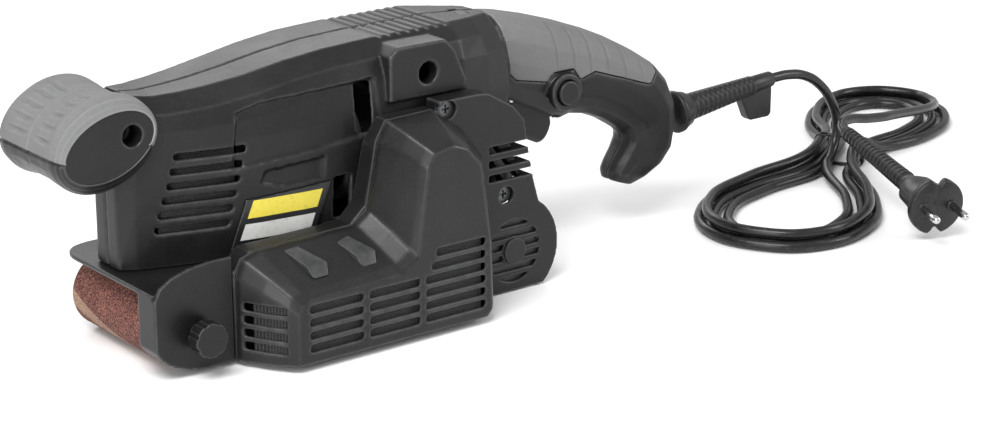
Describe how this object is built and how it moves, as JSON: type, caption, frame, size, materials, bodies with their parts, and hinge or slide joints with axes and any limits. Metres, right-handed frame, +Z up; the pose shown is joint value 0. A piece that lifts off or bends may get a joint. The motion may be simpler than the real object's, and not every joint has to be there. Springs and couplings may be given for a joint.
{
  "type": "handheld belt sander",
  "caption": "Handheld belt sander with front grip, pistol rear handle, slotted side dust box, exposed sanding belt, tracking knob and mains lead tied in a hank.",
  "frame": {"origin": "middle of the flat underside of the sanding belt, where it meets the work", "axes": "+X back along the tool towards the rear handle, +Y to the operator's right, +Z up"},
  "size_m": [0.7297, 0.2713, 0.1509],
  "materials": {
    "black_plastic": "fine speckled moulded plastic, satin",
    "box_plastic": "smooth satin moulded plastic",
    "grey_grip": "soft matt overmould",
    "black_rubber": "matt rubber",
    "steel": "turned and ground",
    "dark_steel": "blackened steel",
    "alloy": "die cast",
    "copper": "enamelled copper",
    "carbon": "graphite",
    "grit": "aluminium oxide grit on cloth",
    "lead": "smooth pvc",
    "label": "printed plate, plain stripes",
    "filter_mesh": "fine woven filter mesh"
  },
  "bodies": {
    "sander": {"housing_left": "black_plastic", "housing_right": "black_plastic", "front_grip_skin": "grey_grip", "handle_grip_skin": "grey_grip", "front_guard": "black_plastic", "side_frame": "black_plastic", "drive_cover": "black_plastic", "roller_end_cap": "box_plastic", "cover_screw_upper": "dark_steel", "cover_screw_lower": "dark_steel", "sanding_belt": "grit", "base_frame": "alloy", "platen": "steel", "platen_pad": "carbon", "drive_bearing_left": "steel", "drive_bearing_right": "steel", "toothed_belt": "black_rubber", "tension_spring": "steel", "stator": "dark_steel", "motor_bearing_front": "steel", "motor_bearing_rear": "steel", "jackshaft_bearing_left": "steel", "jackshaft_bearing_right": "steel", "gear_case": "alloy", "brush_left": "carbon", "brush_right": "carbon", "switch_body": "box_plastic", "trigger_pin": "steel", "name_plate": "label", "strain_relief": "lead", "cord": "lead", "cord_hank": "lead", "cord_tie": "black_rubber", "plug": "lead", "plug_pin_left": "steel", "plug_pin_right": "steel"},
    "drive_roller": {"drive_roller_core": "alloy", "drive_roller_tyre": "black_rubber", "drive_shaft": "steel", "large_pulley": "alloy"},
    "yoke": {"roller_yoke": "alloy", "front_axle": "steel"},
    "front_roller": {"front_roller": "alloy"},
    "tension_lever": {"tension_lever": "dark_steel"},
    "tracking": {"tracking_knob": "box_plastic", "tracking_screw": "steel"},
    "armature": {"motor_shaft": "steel", "armature_core": "dark_steel", "armature_winding": "copper", "commutator": "copper", "cooling_fan": "box_plastic", "bevel_pinion": "steel"},
    "jackshaft": {"jackshaft": "steel", "bevel_gear": "steel", "small_pulley": "alloy"},
    "trigger": {"trigger": "black_plastic"},
    "lock_button": {"lock_button": "black_plastic"},
    "speed_dial": {"speed_dial": "box_plastic"},
    "dust_box": {"dust_box": "box_plastic", "dust_filter": "filter_mesh"}
  },
  "joints": [
    {"name": "drive_roller_spin", "type": "hinge", "parent": "sander", "child": "drive_roller", "pos_m": [0.1015, 0, 0.021], "axis": [0, 1, 0], "continuous": true},
    {"name": "yoke_slide", "type": "slide", "parent": "sander", "child": "yoke", "axis": [1, 0, 0], "range_m": [0, 0.006], "deforming": ["tension_spring"]},
    {"name": "front_roller_spin", "type": "hinge", "parent": "yoke", "child": "front_roller", "pos_m": [-0.1006, 0, 0.021], "axis": [0, 1, 0], "continuous": true},
    {"name": "tension_lever_swing", "type": "hinge", "parent": "sander", "child": "tension_lever", "pos_m": [-0.047, 0.033, 0.021], "axis": [0, 0, 1], "range_deg": [0, 95]},
    {"name": "tracking_turn", "type": "hinge", "parent": "sander", "child": "tracking", "pos_m": [-0.102, -0.06, 0.0225], "axis": [0, 1, 0], "range_deg": [-360, 360]},
    {"name": "armature_spin", "type": "hinge", "parent": "sander", "child": "armature", "pos_m": [0, 0, 0.092], "axis": [1, 0, 0], "continuous": true},
    {"name": "jackshaft_spin", "type": "hinge", "parent": "sander", "child": "jackshaft", "pos_m": [0.07, 0, 0.092], "axis": [0, 1, 0], "continuous": true},
    {"name": "trigger_pull", "type": "hinge", "parent": "sander", "child": "trigger", "pos_m": [0.1365, 0, 0.094], "axis": [0, -1, 0], "range_deg": [0, 6], "stiffness_Nm_per_rad": 1.5, "springref_deg": -5.73},
    {"name": "lock_button_press", "type": "slide", "parent": "sander", "child": "lock_button", "axis": [0, 1, 0], "range_m": [0, 0.003], "stiffness_N_per_m": 300, "springref_m": -0.002},
    {"name": "speed_dial_turn", "type": "hinge", "parent": "sander", "child": "speed_dial", "pos_m": [0.104, -0.003, 0.1265], "axis": [1, 0, 0], "range_deg": [-120, 120]},
    {"name": "dust_box_pull", "type": "slide", "parent": "sander", "child": "dust_box", "axis": [0, -1, 0], "range_m": [0, 0.06]}
  ],
  "couplings": [
    {"joint": "jackshaft_spin", "follows": "drive_roller_spin", "ratio": 2},
    {"joint": "armature_spin", "follows": "drive_roller_spin", "ratio": -4},
    {"joint": "front_roller_spin", "follows": "drive_roller_spin", "ratio": 1},
    {"joint": "yoke_slide", "follows": "tension_lever_swing", "m_per_rad": 0.003619}
  ]
}
